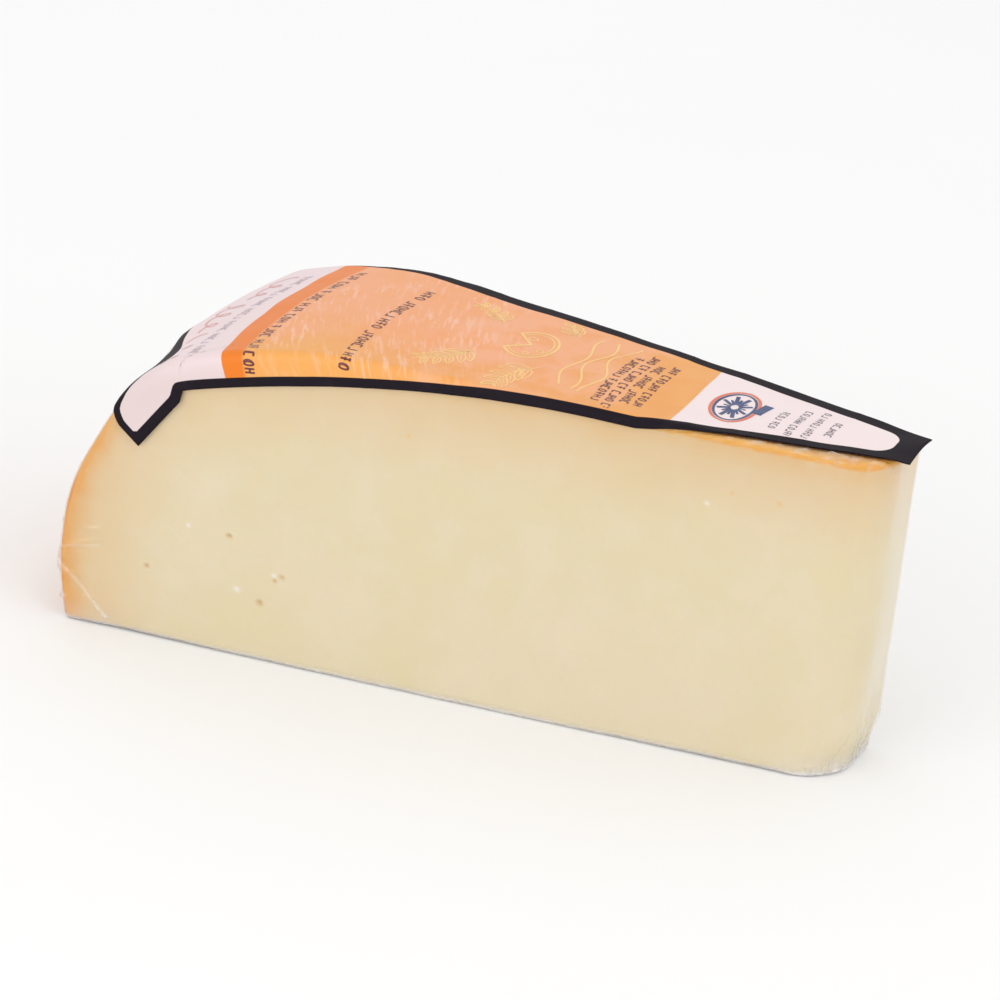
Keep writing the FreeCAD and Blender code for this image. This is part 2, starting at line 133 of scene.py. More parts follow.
def corner_centre():
    """Centre of the shoulder's arc, which meets the side's arc and the crown's arc smoothly."""
    reach_side = SIDE_RADIUS - CORNER_RADIUS
    reach_crown = CROWN_RADIUS - CORNER_RADIUS
    gap = np.linalg.norm(SIDE_C - CROWN_C)
    along = (reach_crown ** 2 - reach_side ** 2 + gap ** 2) / (2 * gap)
    across = sqrt(reach_crown ** 2 - along ** 2)
    unit = (SIDE_C - CROWN_C) / gap
    return CROWN_C + unit * along + np.array([unit[1], -unit[0]]) * across


CORNER_C = corner_centre()
BASE_ANGLE = -asin(BULGE_HEIGHT / SIDE_RADIUS)
SIDE_ANGLE = atan2(*(CORNER_C - SIDE_C)[::-1])
CROWN_ANGLE = atan2(*(CORNER_C - CROWN_C)[::-1])
SIDE_RUN = SIDE_RADIUS * (SIDE_ANGLE - BASE_ANGLE)
CORNER_RUN = CORNER_RADIUS * (CROWN_ANGLE - SIDE_ANGLE)
CROWN_RUN = CROWN_RADIUS * (pi / 2 - CROWN_ANGLE)
FLAT_RUN = CROWN_START - NOSE_DISTANCE
PROFILE_RUN = SIDE_RUN + CORNER_RUN + CROWN_RUN + FLAT_RUN
SHOULDER_RUN = SIDE_RUN + CORNER_RUN / 2


def profile(run):
    """The rim's profile from its foot up and over to the nose: radius, height, outward direction."""
    run = np.asarray(run, float)
    side = BASE_ANGLE + run / SIDE_RADIUS
    corner = SIDE_ANGLE + (run - SIDE_RUN) / CORNER_RADIUS
    crown = CROWN_ANGLE + (run - SIDE_RUN - CORNER_RUN) / CROWN_RADIUS
    flat = run - SIDE_RUN - CORNER_RUN - CROWN_RUN
    zones = [run < SIDE_RUN, run < SIDE_RUN + CORNER_RUN, flat < 0]
    angle = np.select(zones, [side, corner, crown], pi / 2)
    size = np.select(zones, [SIDE_RADIUS, CORNER_RADIUS, CROWN_RADIUS], CROWN_RADIUS)
    centre_r = np.select(zones, [SIDE_C[0], CORNER_C[0], CROWN_C[0]], CROWN_C[0] - flat)
    centre_z = np.select(zones, [SIDE_C[1], CORNER_C[1], CROWN_C[1]], CROWN_C[1])
    out_r, out_z = np.cos(angle), np.sin(angle)
    return centre_r + size * out_r, centre_z + size * out_z, out_r, out_z


def rim_zones(points):
    """Radius and height about the wheel's axis, the way from the shoulder's centre, and which points
    lie by the flat top, the crown and the side; the rest lie by the shoulder."""
    radius = np.hypot(points[:, 0] - AXIS_X, points[:, 1])
    height = points[:, 2] - BASE_Z
    v_r, v_z = radius - CORNER_C[0], height - CORNER_C[1]
    above = cos(CROWN_ANGLE) * v_z - sin(CROWN_ANGLE) * v_r > 0
    below = cos(SIDE_ANGLE) * v_z - sin(SIDE_ANGLE) * v_r < 0
    flat = (radius < CROWN_START) & (height > CROWN_C[1])
    return radius, height, v_r, v_z, [flat, above, below]


def rind_distance(points):
    """Distance outside the rind, which is turned about the wheel's axis; negative inside."""
    radius, height, v_r, v_z, zones = rim_zones(points)
    to_side = np.hypot(radius - SIDE_C[0], height - SIDE_C[1]) - SIDE_RADIUS
    to_crown = np.hypot(radius - CROWN_C[0], height - CROWN_C[1]) - CROWN_RADIUS
    to_corner = np.hypot(v_r, v_z) - CORNER_RADIUS
    return np.select(zones, [height - CUT_HEIGHT, to_crown, to_side], to_corner)


def plan_distance(points):
    """Distance outside the slice's plan: two cut faces and a nose with rounded corners."""
    x, y = points[:, 0], points[:, 1]
    near = (x - AXIS_X) * SIN - y * COS
    far = (x - AXIS_X) * SIN + y * COS
    distance = np.maximum(np.maximum(near, far), x - NOSE_X)
    for side, radius in ((-1, NOSE_NEAR_RADIUS), (1, NOSE_FAR_RADIUS)):
        centre_x = NOSE_X - radius
        centre_y = (-radius - (centre_x - AXIS_X) * SIN) / COS
        v_x, v_y = x - centre_x, y * side - centre_y
        round_part = (v_y >= 0) & (v_x * COS - v_y * SIN >= 0)
        distance = np.where(round_part, np.hypot(v_x, v_y) - radius, distance)
    return distance


def swell(points):
    """How the cut faces and the rind depart from true: long waves and short ones."""
    return 0.10 * wander(points, 46, seed=3) + 0.035 * wander(points, 11, seed=5)


def pressed_in(points):
    """How deep the rind is pressed in at the near shoulder."""
    angle = np.arctan2(points[:, 1], AXIS_X - points[:, 0]) / HALF_ANGLE
    shoulder = smooth(-points[:, 0], 44, 50) * smooth(points[:, 2], 20, 33) * smooth(-angle, 0.15, 0.6)
    return PRESSED_DEPTH * shoulder


def worn_foot(points):
    """How deep the foot of the nose is worn away."""
    return WORN_DEPTH * smooth(points[:, 0], 53, 60) * smooth(-points[:, 2], -7, -1)


def wedge_distance(points):
    """Distance outside the cheese; negative inside."""
    plan = plan_distance(points) + worn_foot(points)
    rind = rind_distance(points) + pressed_in(points)
    body = eased_max(plan, rind, EDGE_EASE)
    return eased_max(body, BASE_Z - points[:, 2], BASE_EASE) - swell(points)


def turned(radius, angle, height):
    """Points at a radius and an angle about the wheel's axis, and a height above the base."""
    return np.stack([AXIS_X - radius * np.cos(angle), radius * np.sin(angle), BASE_Z + height], 1)


def slope(points, step=0.02):
    """Unit directions that lead straight away from the surface."""
    shifts = np.eye(3) * step
    rise = np.stack([wedge_distance(points + s) - wedge_distance(points - s) for s in shifts], axis=1)
    return rise / np.maximum(np.linalg.norm(rise, axis=1, keepdims=True), 1e-9)


def settle(points, height, rounds=7):
    """Points moved onto the surface that lies this high above the cheese."""
    points = points.copy()
    for _ in range(rounds):
        points -= slope(points) * (wedge_distance(points) - height)[:, None]
    return points


# ---- lattice over the whole wedge
# rough size along, across and up, and the first lines in from an edge, the nose and the foot
LATTICE_SIZE = (118, 44, 51)
EDGE_LINES = [0, 0.22, 0.45, 0.7, 1.0, 1.4]
NOSE_LINES = [0, 0.3, 0.6, 0.9, 1.3, 1.7, 2.2, 2.8, 3.4, 4.0, 4.6, 5.2, 5.9, 6.6, 7.4, 8.2]
FOOT_LINES = [0, 0.15, 0.3, 0.5, 0.8, 1.2]


def lines(length, step, start, end):
    """Places of lattice lines from 0 to 1: evenly spaced, closer towards the ends as listed."""
    middle_start, middle_end = start[-1], length - end[-1]
    count = max(2, round((middle_end - middle_start) / step))
    middle = np.linspace(middle_start, middle_end, count + 1)[1:-1]
    return np.concatenate([start, middle, length - np.array(end[::-1])]) / length


def quads(grid, flip=False):
    """Four-sided faces between the neighbours in a grid of point numbers."""
    a, b, c, d = grid[:-1, :-1], grid[1:, :-1], grid[1:, 1:], grid[:-1, 1:]
    return np.stack([a, d, c, b] if flip else [a, b, c, d], axis=-1).reshape(-1, 4)


def wedge_lattice(step):
    """A closed mesh of four-sided faces roughly on the wedge: points and faces."""
    us = lines(LATTICE_SIZE[0], step, EDGE_LINES, NOSE_LINES)
    vs = lines(LATTICE_SIZE[1], step * 0.9, EDGE_LINES, EDGE_LINES)
    ws = lines(LATTICE_SIZE[2], step, FOOT_LINES, EDGE_LINES)
    shape = (len(us), len(vs), len(ws))
    inside = np.zeros(shape, bool)
    inside[1:-1, 1:-1, 1:-1] = True
    number = np.full(shape, -1)
    number[~inside] = np.arange((~inside).sum())
    spots = np.argwhere(~inside)
    u, v, w = us[spots[:, 0]], vs[spots[:, 1]], ws[spots[:, 2]]

    top = profile(SHOULDER_RUN + u * (PROFILE_RUN - SHOULDER_RUN))
    left = profile(w * SHOULDER_RUN)
    foot = profile(np.zeros(1))[0]
    shoulder = profile(np.array([SHOULDER_RUN]))
    angle = (2 * v - 1) * HALF_ANGLE
    nose = NOSE_DISTANCE / np.cos(angle)
    base_r = foot + (NOSE_DISTANCE - foot) * u

    def patch(bottom, over, low, high, corners):
        """A value all over the lattice, blended from its four sides."""
        bilinear = ((1 - u) * (1 - w) * corners[0] + u * (1 - w) * corners[1]
                    + (1 - u) * w * corners[2] + u * w * corners[3])
        return (1 - w) * bottom + w * over + (1 - u) * low + u * high - bilinear

    radius = patch(base_r, top[0], left[0], NOSE_DISTANCE,
                   (foot, NOSE_DISTANCE, shoulder[0], NOSE_DISTANCE))
    height = patch(0, top[1], left[1], w * CUT_HEIGHT, (0, 0, shoulder[1], CUT_HEIGHT))
    radius = radius + (nose - NOSE_DISTANCE) * u
    faces = [quads(number[:, :, 0], True), quads(number[:, :, -1]),
             quads(number[:, 0, :]), quads(number[:, -1, :], True),
             quads(number[0, :, :], True), quads(number[-1, :, :])]
    return turned(radius, angle, height), np.concatenate(faces)


def placed(name, data):
    """A new object that shows this mesh, lamp or camera."""
    made = bpy.data.objects.new(name, data)
    bpy.context.scene.collection.objects.link(made)
    return made


def mesh_piece(name, points, faces, attributes=None):
    """A smooth-shaded mesh object from points in millimetres, with its attributes by name."""
    mesh = bpy.data.meshes.new(name)
    mesh.from_pydata((points * MM).tolist(), [], faces)
    mesh.update()
    for key, values in (attributes or {}).items():
        layer = mesh.attributes.new(key, "FLOAT", "POINT")
        layer.data.foreach_set("value", np.asarray(values, np.float32))
    mesh.polygons.foreach_set("use_smooth", [True] * len(mesh.polygons))
    piece = placed(name, mesh)
    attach(piece, "root")
    return piece


# ---- materials
class Look:
    """A material with short ways to add and join its nodes."""

    def __init__(self, name):
        self.material = bpy.data.materials.new(name)
        self.material.use_nodes = True
        self.tree = self.material.node_tree
        self.tree.nodes.clear()
        self.place = self.node("ShaderNodeTexCoord").outputs["Object"]

    def node(self, kind, inputs=None, **settings):
        """A new node; its inputs are values or other nodes' outputs."""
        made = self.tree.nodes.new(kind)
        for key, value in settings.items():
            setattr(made, key, value)
        for key, value in (inputs or {}).items():
            if isinstance(value, bpy.types.NodeSocket):
                self.tree.links.new(value, made.inputs[key])
            else:
                made.inputs[key].default_value = value
        return made

    def math(self, operation, first, second, clamp=False):
        inputs = {0: first, 1: second}
        return self.node("ShaderNodeMath", inputs, operation=operation, use_clamp=clamp).outputs[0]

    def times(self, first, second, clamp=False):
        return self.math("MULTIPLY", first, second, clamp)

    def plus(self, first, second):
        return self.math("ADD", first, second)

    def minus(self, first, second):
        return self.math("SUBTRACT", first, second)

    def attribute(self, name):
        return self.node("ShaderNodeAttribute", attribute_name=name).outputs["Fac"]

    def over(self, value, edge, soft):
        """1 where the value is over the edge, 0 where it is under."""
        inputs = {"Value": value, "From Min": edge - soft, "From Max": edge + soft}
        return self.node("ShaderNodeMapRange", inputs, interpolation_type="SMOOTHSTEP").outputs["Result"]

    def under(self, value, edge, soft):
        """1 where the value is under the edge, 0 where it is over."""
        return self.minus(1.0, self.over(value, edge, soft))

    def between(self, value, low, high, soft):
        return self.minus(self.over(value, low, soft), self.over(value, high, soft))

    def uneven(self, value, noise, reach):
        """The value, shifted up and down by a noise over this reach."""
        return self.plus(value, self.times(self.minus(noise, 0.5), reach))

    def noise(self, millimetres, detail=3.0, rough=0.5, stretch=(1, 1, 1), distortion=0.0):
        """An even field about 0.5 with bumps of this size."""
        spread = self.node("ShaderNodeMapping", {"Vector": self.place, "Scale": stretch})
        inputs = {"Vector": spread.outputs[0], "Scale": 1 / (millimetres * MM), "Detail": detail,
                  "Roughness": rough, "Distortion": distortion}
        return self.node("ShaderNodeTexNoise", inputs).outputs["Fac"]

    def mix(self, share, first, second):
        """The first colour, with this share of the second in it."""
        made = self.node("ShaderNodeMix", data_type="RGBA")
        for number, value in ((0, share), (6, first), (7, second)):
            socket = made.inputs[number]
            if isinstance(value, bpy.types.NodeSocket):
                self.tree.links.new(value, socket)
            elif isinstance(value, (int, float)):
                socket.default_value = value
            else:
                socket.default_value = (*value, 1)
        return made.outputs[2]

    def layered(self, colour, *layers):
        """A colour with others laid over it in turn, each by its share."""
        for share, tone in layers:
            colour = self.mix(share, colour, tone)
        return colour

    def bump(self, height, strength, millimetres):
        inputs = {"Height": height, "Strength": strength, "Distance": millimetres * MM}
        return self.node("ShaderNodeBump", inputs).outputs[0]

    def finish(self, shader):
        self.node("ShaderNodeOutputMaterial", {"Surface": shader.outputs[0]})
        return self.material

    def surface(self, colour, rough, gloss, **more):
        """The finished material, with one plain surface."""
        inputs = {"Base Color": colour, "Roughness": rough, "Specular IOR Level": gloss, **more}
        return self.finish(self.node("ShaderNodeBsdfPrincipled", inputs))


# the paste's colours: all over, in soft patches, and in its grain
PASTE = (0.77, 0.672, 0.455)
PASTE_LIGHT = (0.78, 0.68, 0.50)
PASTE_PALE = (0.80, 0.71, 0.54)
PASTE_YELLOW = (0.76, 0.67, 0.40)
PASTE_GRAIN = (0.72, 0.59, 0.36)
# towards the rind: well under it, close under it at the crown and at the rim, and just under it
WARM_PASTE = (0.755, 0.55, 0.31)
UNDER_CROWN = (0.76, 0.48, 0.21)
UNDER_RIM = (0.75, 0.42, 0.14)
UNDER_RIND = (0.76, 0.38, 0.10)
NOSE_STRIP = (0.80, 0.39, 0.05)
# the rind, in two tones at the crown and two at the rim
CROWN_RIND = ((0.82, 0.40, 0.08), (0.85, 0.52, 0.19))
RIM_RIND = ((0.70, 0.27, 0.05), (0.80, 0.44, 0.15))
RIND_GRAIN = (0.60, 0.25, 0.05)
# painted shade that darkens the pits
PIT_SHADE_COLOUR = (0.68, 0.45, 0.19)
TAN_COLOUR = (0.80, 0.52, 0.22)
PALE_COLOUR = (0.88, 0.85, 0.80)


def cheese_look():
    """Smooth paste that warms to orange under the rind, with the rind's own crust."""
    look = Look("gouda")
    depth = look.attribute("rind_depth")
    warmth = look.attribute("rind_warmth")
    rimward = look.attribute("rimward")
    broad = look.noise(24)
    mottle = look.noise(6, 4, 0.6)
    grain = look.noise(0.9, 3, 0.6)
    blotch = look.noise(9, 4, 0.6)
    ragged = look.uneven(depth, mottle, 4.0)
    strip = look.under(look.uneven(depth, blotch, 2.2), 1.15, 0.3)
    strip = look.times(strip, look.attribute("nose_strip"))
    patches = look.over(blotch, 0.5, 0.18)
    rind = look.mix(rimward, look.mix(patches, *CROWN_RIND), look.mix(patches, *RIM_RIND))
    colour = look.layered(
        PASTE,
        (look.over(broad, 0.5, 0.2), PASTE_LIGHT),
        (look.times(look.over(mottle, 0.56, 0.1), 0.3), PASTE_PALE),
        (look.times(look.under(blotch, 0.44, 0.12), 0.22), PASTE_YELLOW),
        (look.times(look.over(grain, 0.6, 0.12), 0.10), PASTE_GRAIN),
        (look.times(look.under(ragged, 9.0, 11.0), 0.9), WARM_PASTE),
        (look.times(look.under(ragged, 2.4, 2.8), warmth), look.mix(rimward, UNDER_CROWN, UNDER_RIM)),
        (look.times(look.under(ragged, 0.9, 0.9), warmth), UNDER_RIND),
        (look.times(strip, 0.9), NOSE_STRIP),
        (look.under(depth, 0.45, 0.15),
         look.mix(look.times(look.over(grain, 0.52, 0.1), 0.25), rind, RIND_GRAIN)),
        # painted shade in the pits
        (look.times(look.attribute("pit_shade"), 0.9, True), PIT_SHADE_COLOUR),
        (look.attribute("tan_speck"), TAN_COLOUR),
        (look.attribute("pale_speck"), PALE_COLOUR))
    height = look.plus(look.times(grain, 0.4), mottle)
    rough = look.plus(look.times(mottle, 0.2), 0.38)
    within = {"Subsurface Weight": 0.2, "Subsurface Radius": (1.0, 0.75, 0.45), "Subsurface Scale": 0.003}
    return look.surface(colour, rough, 0.3, Normal=look.bump(height, 0.08, 0.2), **within)


FILM_TINT = (0.985, 0.985, 0.98, 1)
FILM_HAZE = (0.93, 0.90, 0.89, 1)
WHITE = (1, 1, 1, 1)
MOST_SHINE = 0.35


def film_look():
    """Clear glossy film, hazy where it is seen edge-on and milky where it is gathered; the milky share is
    partly painted highlight on creases and crinkles and partly painted light at the foot.
    """
    look = Look("shrink_film_clear")
    slack = look.attribute("slack")
    milk_and_painted_light = look.attribute("milk_and_painted_light")
    crinkle = look.noise(2.6, 4, 0.62, distortion=0.9)
    ripple = look.noise(14, 2, 0.4, stretch=(1, 1, 1.6))
    height = look.plus(look.times(crinkle, look.plus(slack, 0.02)), look.times(ripple, 0.10))
    normal = look.bump(height, 0.9, 0.9)
    clear = look.node("ShaderNodeBsdfTransparent", {"Color": FILM_TINT})
    haze = look.node("ShaderNodeBsdfPrincipled",
                     {"Base Color": FILM_HAZE, "Roughness": 0.4, "Normal": normal})
    gloss = look.node("ShaderNodeBsdfGlossy", {"Color": WHITE, "Roughness": 0.10, "Normal": normal})
    grazing = look.node("ShaderNodeLayerWeight", {"Blend": 0.35}).outputs["Facing"]
    sheen = look.times(look.math("POWER", grazing, 5.0), 0.75)
    fresnel = look.node("ShaderNodeFresnel", {"IOR": 1.42, "Normal": normal}).outputs[0]
    shine = look.math("MINIMUM", fresnel, MOST_SHINE)
    patchy = look.plus(look.times(look.over(crinkle, 0.45, 0.25), 0.55), 0.45)
    # the haze's share: sheen seen edge-on, and milk that is partly painted highlight and painted light
    haze_and_painted_light = look.math("MAXIMUM", sheen, look.times(milk_and_painted_light, patchy), True)
    glossy = look.node("ShaderNodeMixShader", {0: shine, 1: clear.outputs[0], 2: gloss.outputs[0]})
    return look.finish(look.node("ShaderNodeMixShader",
                                 {0: haze_and_painted_light, 1: glossy.outputs[0], 2: haze.outputs[0]}))


# ---- the cheese
# places on the near cut face: along X, height above the base, radius, and how deep each of the pits goes
PITS = [(-34.6, 18.9, 0.33, 0.5), (-46.9, 11.2, 0.30, 0.5), (-28.9, 9.1, 0.40, 0.6),
        (-25.9, 14.0, 0.32, 0.4), (-26.9, 13.2, 0.30, 0.3)]
PALE_SPECKS = [(-32.6, 10.6, 0.40), (-41.0, 19.3, 0.30), (36.0, 40.1, 0.28), (-27.1, 14.1, 0.30)]
TAN_SPECKS = [(39.5, 42.5, 0.26), (46.5, 42.3, 0.30), (-9.0, 41.0, 0.25)]


def near_face_point(x, height):
    """A point of the near cut face, from its place along X and its height."""
    return np.array([x, -(AXIS_X - x) * tan(HALF_ANGLE), BASE_Z + height])


def refined(points, faces, spots, reach):
    """The same mesh with its faces split finer within reach of some spots."""
    mesh = bpy.data.meshes.new("rough")
    mesh.from_pydata(points.tolist(), [], faces.tolist())
    work = bmesh.new()
    work.from_mesh(mesh)
    bpy.data.meshes.remove(mesh)
    middles = np.array([(edge.verts[0].co + edge.verts[1].co) / 2 for edge in work.edges])
    close = np.zeros(len(middles), bool)
    for spot in spots:
        close |= np.linalg.norm(middles - spot, axis=1) < reach
    work.edges.ensure_lookup_table()
    chosen = [work.edges[i] for i in np.flatnonzero(close)]
    bmesh.ops.subdivide_edges(work, edges=chosen, cuts=3, use_grid_fill=True)
    work.verts.ensure_lookup_table()
    points = np.array([vertex.co for vertex in work.verts])
    faces = [[vertex.index for vertex in face.verts] for face in work.faces]
    work.free()
    return points, faces


def dot_field(points, dots):
    """1 at the middle of each small dot of the near face, falling off over its radius."""
    field = np.zeros(len(points))
    for x, height, radius in dots:
        offset = points - near_face_point(x, height)
        across = np.hypot(offset[:, 0] * 0.85, offset[:, 2] + 0.25 * offset[:, 0])
        near = np.linalg.norm(offset, axis=1) < 4
        field = np.maximum(field, near * np.exp(-(across / radius) ** 2))
    return field


def make_cheese():
    """The cheese, which knows how deep under the rind each point lies."""
    start, faces = wedge_lattice(1.0)
    points = settle(start, 0.0)
    spots = [near_face_point(dot[0], dot[1]) for dot in PITS + PALE_SPECKS + TAN_SPECKS]
    points, faces = refined(points, faces, spots, reach=1.5)
    points = settle(points, 0.0, 3)
    out = slope(points)
    # where the pits' painted shade falls
    pit_shade = dot_field(points, [dot[:3] for dot in PITS])
    for x, height, radius, depth in PITS:
        points -= out * (depth * dot_field(points, [(x, height, radius)]))[:, None]
    depth = -rind_distance(points)
    cut = smooth(-plan_distance(points), 0.0, 1.0)
    rim = smooth(-points[:, 0], 30, 58)
    warmth = np.clip(0.62 + 0.4 * rim, 0, 1) * (1 - 0.35 * cut)
    attributes = {"rind_depth": depth, "rind_warmth": warmth, "rimward": rim, "pit_shade": pit_shade,
                  "nose_strip": smooth(points[:, 0], 20, 34),
                  "pale_speck": dot_field(points, PALE_SPECKS),
                  "tan_speck": dot_field(points, TAN_SPECKS)}
    return mesh_piece("cheese_paste", points, faces, attributes)


# ---- the label's flat sheet
def unrolled(points):
    """Where points lie on the label's flat sheet: back from the nose, and across from the middle."""
    radius, height, v_r, v_z, zones = rim_zones(points)
    side = SIDE_RADIUS * (np.arctan2(height - SIDE_C[1], radius - SIDE_C[0]) - BASE_ANGLE)
    crown_turn = np.arctan2(height - CROWN_C[1], radius - CROWN_C[0])
    crown = SIDE_RUN + CORNER_RUN + CROWN_RADIUS * (crown_turn - CROWN_ANGLE)
    corner = SIDE_RUN + CORNER_RADIUS * (np.arctan2(v_z, v_r) - SIDE_ANGLE)
    flat = PROFILE_RUN - (radius - NOSE_DISTANCE)
    run = np.select(zones, [flat, crown, side], corner)
    angle = np.arctan2(points[:, 1], AXIS_X - points[:, 0])
    depth = np.clip(-rind_distance(points), 0, None)
    return PROFILE_RUN - run, np.sign(points[:, 1]) * (np.abs(angle) * profile(run)[0] + depth)


def sheet_spot(x, y, z):
    """One point's place on the flat sheet."""
    return np.concatenate(unrolled(np.array([[x, y, z]])))


def face_spot(back, drop, side):
    """The sheet's place of a point of a cut face, this far back from the nose and down."""
    x = NOSE_X - back
    return sheet_spot(x, side * (AXIS_X - x) * tan(HALF_ANGLE), TOP_Z - drop)


def top_spot(back, y):
    """The sheet's place of a point of the flat top."""
    return sheet_spot(NOSE_X - back, y, TOP_Z)


def shallow_arc(start, end, radius, count):
    """Points of a shallow upward arc between two places given as back and drop."""
    start, end = np.array(start), np.array(end)
    chord = end - start
    length = np.linalg.norm(chord)
    side = np.array([chord[1], -chord[0]]) / length
    t = np.linspace(0, 1, count)
    sag = length ** 2 / (8 * radius)
    return start + np.outer(t, chord) + np.outer(4 * sag * t * (1 - t), side)


def rounded(points, rounds=3):
    """An open line with its inner corners cut off again and again."""
    points = np.array(points)
    for _ in range(rounds):
        first = points[:-1] * 0.75 + points[1:] * 0.25
        second = points[:-1] * 0.25 + points[1:] * 0.75
        middle = np.stack([first, second], 1).reshape(-1, 2)[1:-1]
        points = np.concatenate([points[:1], middle, points[-1:]])
    return points


def spaced_out(points, count, corners=()):
    """The same line with evenly spaced points, some of them on these corners."""
    points = np.array(points)
    run = np.concatenate([[0], np.cumsum(np.linalg.norm(np.diff(points, axis=0), axis=1))])
    want = np.linspace(0, run[-1], count)
    for corner in corners:
        at = run[np.argmin(np.linalg.norm(points - corner, axis=1))]
        want[np.argmin(np.abs(want - at))] = at
    return np.stack([np.interp(want, run, points[:, 0]), np.interp(want, run, points[:, 1])], 1)


def line_distance(points, line):
    """Distance from each point to a line of many points."""
    best = np.full(len(points), np.inf)
    for a, b in zip(line[:-1], line[1:]):
        chord = b - a
        t = np.clip((points - a) @ chord / max(chord @ chord, 1e-12), 0, 1)
        best = np.minimum(best, np.linalg.norm(points - a - t[:, None] * chord, axis=1))
    return best


def face_line(start, end, side, count=12):
    """Places on the sheet along a straight line of a cut face, given by back and drop."""
    return [face_spot(*spot, side) for spot in np.linspace(start, end, count)]


SLICE = WHEEL_RADIUS - NOSE_DISTANCE
# the tip starts this far back from the nose, and lies straight out up to here
LABEL_TIP_BACK = -1.85
TIP_FLAT = 4.0
# places on the near cut face, back from the nose and down from the top
FOLD_START = (37.0, 1.3)
FOLD_LINE_RADIUS = 205.0
PINCH = (SLICE - 19.1, 9.9)
FLAP_STEP = (SLICE - 18.8, 11.8)
FLAP_TIP = (SLICE - 13.1, 20.2)
FLAP_HEEL = (SLICE - 9.5, 17.3)
FLAP_SHOULDER = (SLICE - 8.4, 14.6)
# the far edge's places on the flat top: back from the nose, and along Y
FAR_TOP = ((8.6, 8.3), (22.0, 10.7), (39.5, 13.9), (53.5, 15.9), (63.9, 17.1), (77, 18.9))
# the rim end's places on the sheet: past the foot of the shoulder, and across
END_SPOTS = ((3.0, -26.2), (0.6, -24.9), (-4.6, -23.0), (-5.2, -18.5), (-4.0, -12.0), (-1.8, 0.0),
             (-0.8, 10.0), (-0.4, 20.0))
ACROSS_LINES = 96
ALONG_LINES = 230

TIP_NEAR = np.array([LABEL_TIP_BACK, -3.75])
TIP_FAR = np.array([LABEL_TIP_BACK + 0.3, 6.1])
STEP_SPOT = face_spot(*FLAP_STEP, -1)
PINCH_SPOT = face_spot(*PINCH, -1)
FLAP_SPOT = face_spot(*FLAP_TIP, -1)
FAR_END = face_spot(SLICE - 8.5, 18.4, 1)
NEAR_LINE = ([TIP_NEAR, top_spot(5.0, -5.6), top_spot(20.5, -9.8)]
             + [face_spot(*spot, -1) for spot in shallow_arc(FOLD_START, PINCH, FOLD_LINE_RADIUS, 30)]
             + face_line(PINCH, FLAP_STEP, -1, 4)[1:] + face_line(FLAP_STEP, FLAP_TIP, -1)[1:])
FAR_LINE = ([TIP_FAR] + [top_spot(*spot) for spot in FAR_TOP]
            + [face_spot(SLICE - 37.9, 1.6, 1), face_spot(SLICE - 17.9, 9.0, 1), FAR_END])
END_BACK = PROFILE_RUN - SIDE_RUN
END_LINE = (face_line(FLAP_TIP, FLAP_HEEL, -1, 5) + face_line(FLAP_HEEL, FLAP_SHOULDER, -1, 3)[1:]
            + [np.array([END_BACK + past, across]) for past, across in END_SPOTS] + [FAR_END])
NEAR_EDGE = spaced_out(NEAR_LINE, ALONG_LINES, [PINCH_SPOT, STEP_SPOT])
FAR_EDGE = spaced_out(rounded(FAR_LINE), ALONG_LINES)
END_EDGE = spaced_out(rounded(END_LINE), ACROSS_LINES)
TIP_EDGE = spaced_out([TIP_NEAR, TIP_FAR], ACROSS_LINES)

# widths of the dark printed border, and the radii of its inner corners at the nose and at the rim
NEAR_BORDER = 1.55
FAR_BORDER = 2.45
TIP_BORDER = 3.6
END_BORDER = 1.1
SIDE_CORNER = 0.5
NOSE_CORNER = 2.6
RIM_CORNER = 0.4


def label_sheet_spots():
    """The label's lattice on its flat sheet, blended between its four edges."""
    u = np.linspace(0, 1, ALONG_LINES)[:, None, None]
    v = np.linspace(0, 1, ACROSS_LINES)[None, :, None]
    near, far = NEAR_EDGE[:, None, :], FAR_EDGE[:, None, :]
    tip, end = TIP_EDGE[None, :, :], END_EDGE[None, :, :]
    bilinear = ((1 - u) * (1 - v) * TIP_NEAR + (1 - u) * v * TIP_FAR
                + u * (1 - v) * FLAP_SPOT + u * v * FAR_END)
    return (1 - v) * near + v * far + (1 - u) * tip + u * end - bilinear


def label_lift(spots):
    """How far the label stands off the film: its slack, the flap, the tuck beside it, its corner."""
    along, across = spots.T
    flat = np.stack([along, across, np.zeros(len(along))], 1)
    lift = 0.05 + 0.035 * (1 + wander(flat, 9, 41)) + 0.05 * ridges(flat, 16, 42, (1, 0.5, 1), 2.0)
    flap = smooth(along, PINCH_SPOT[0] - 1.0, STEP_SPOT[0] + 1.2) * smooth(-across, 21.5, 28)
    tuck = np.exp(-((along - STEP_SPOT[0] + 0.35 * (across + 30)) / 0.9) ** 2) * smooth(-across, 21.0, 27)
    corner = smooth(-across, 30, 44) * smooth(along, STEP_SPOT[0] + 1, FLAP_SPOT[0] + 4)
    return lift + 0.16 * flap + 0.16 * tuck + 0.25 * corner


def laid(spots, height):
    """Lays spots of the flat sheet over the wedge, this high above the film."""
    along, across = spots.T
    radius, rise, out_r, out_z = profile(PROFILE_RUN - along)
    over = np.clip(np.abs(across) - radius * HALF_ANGLE, 0, None)
    angle = np.clip(across / radius, -HALF_ANGLE, HALF_ANGLE)
    radius = radius - out_r * over
    rise = rise - out_z * over
    points = turned(radius, angle, rise)
    stand = FILM + LABEL_GAP + label_lift(spots) + height
    tip = along < TIP_FLAT
    flat = points[tip]
    flat[:, 2] = TOP_Z + stand[tip] + swell(flat)
    droop = smooth(-along[tip], -1.5, 2.0)
    flat[:, 2] -= 0.5 * droop * smooth(-across[tip], -5, 5)
    points = settle(points, stand, 9)
    points[tip] = flat
    return points


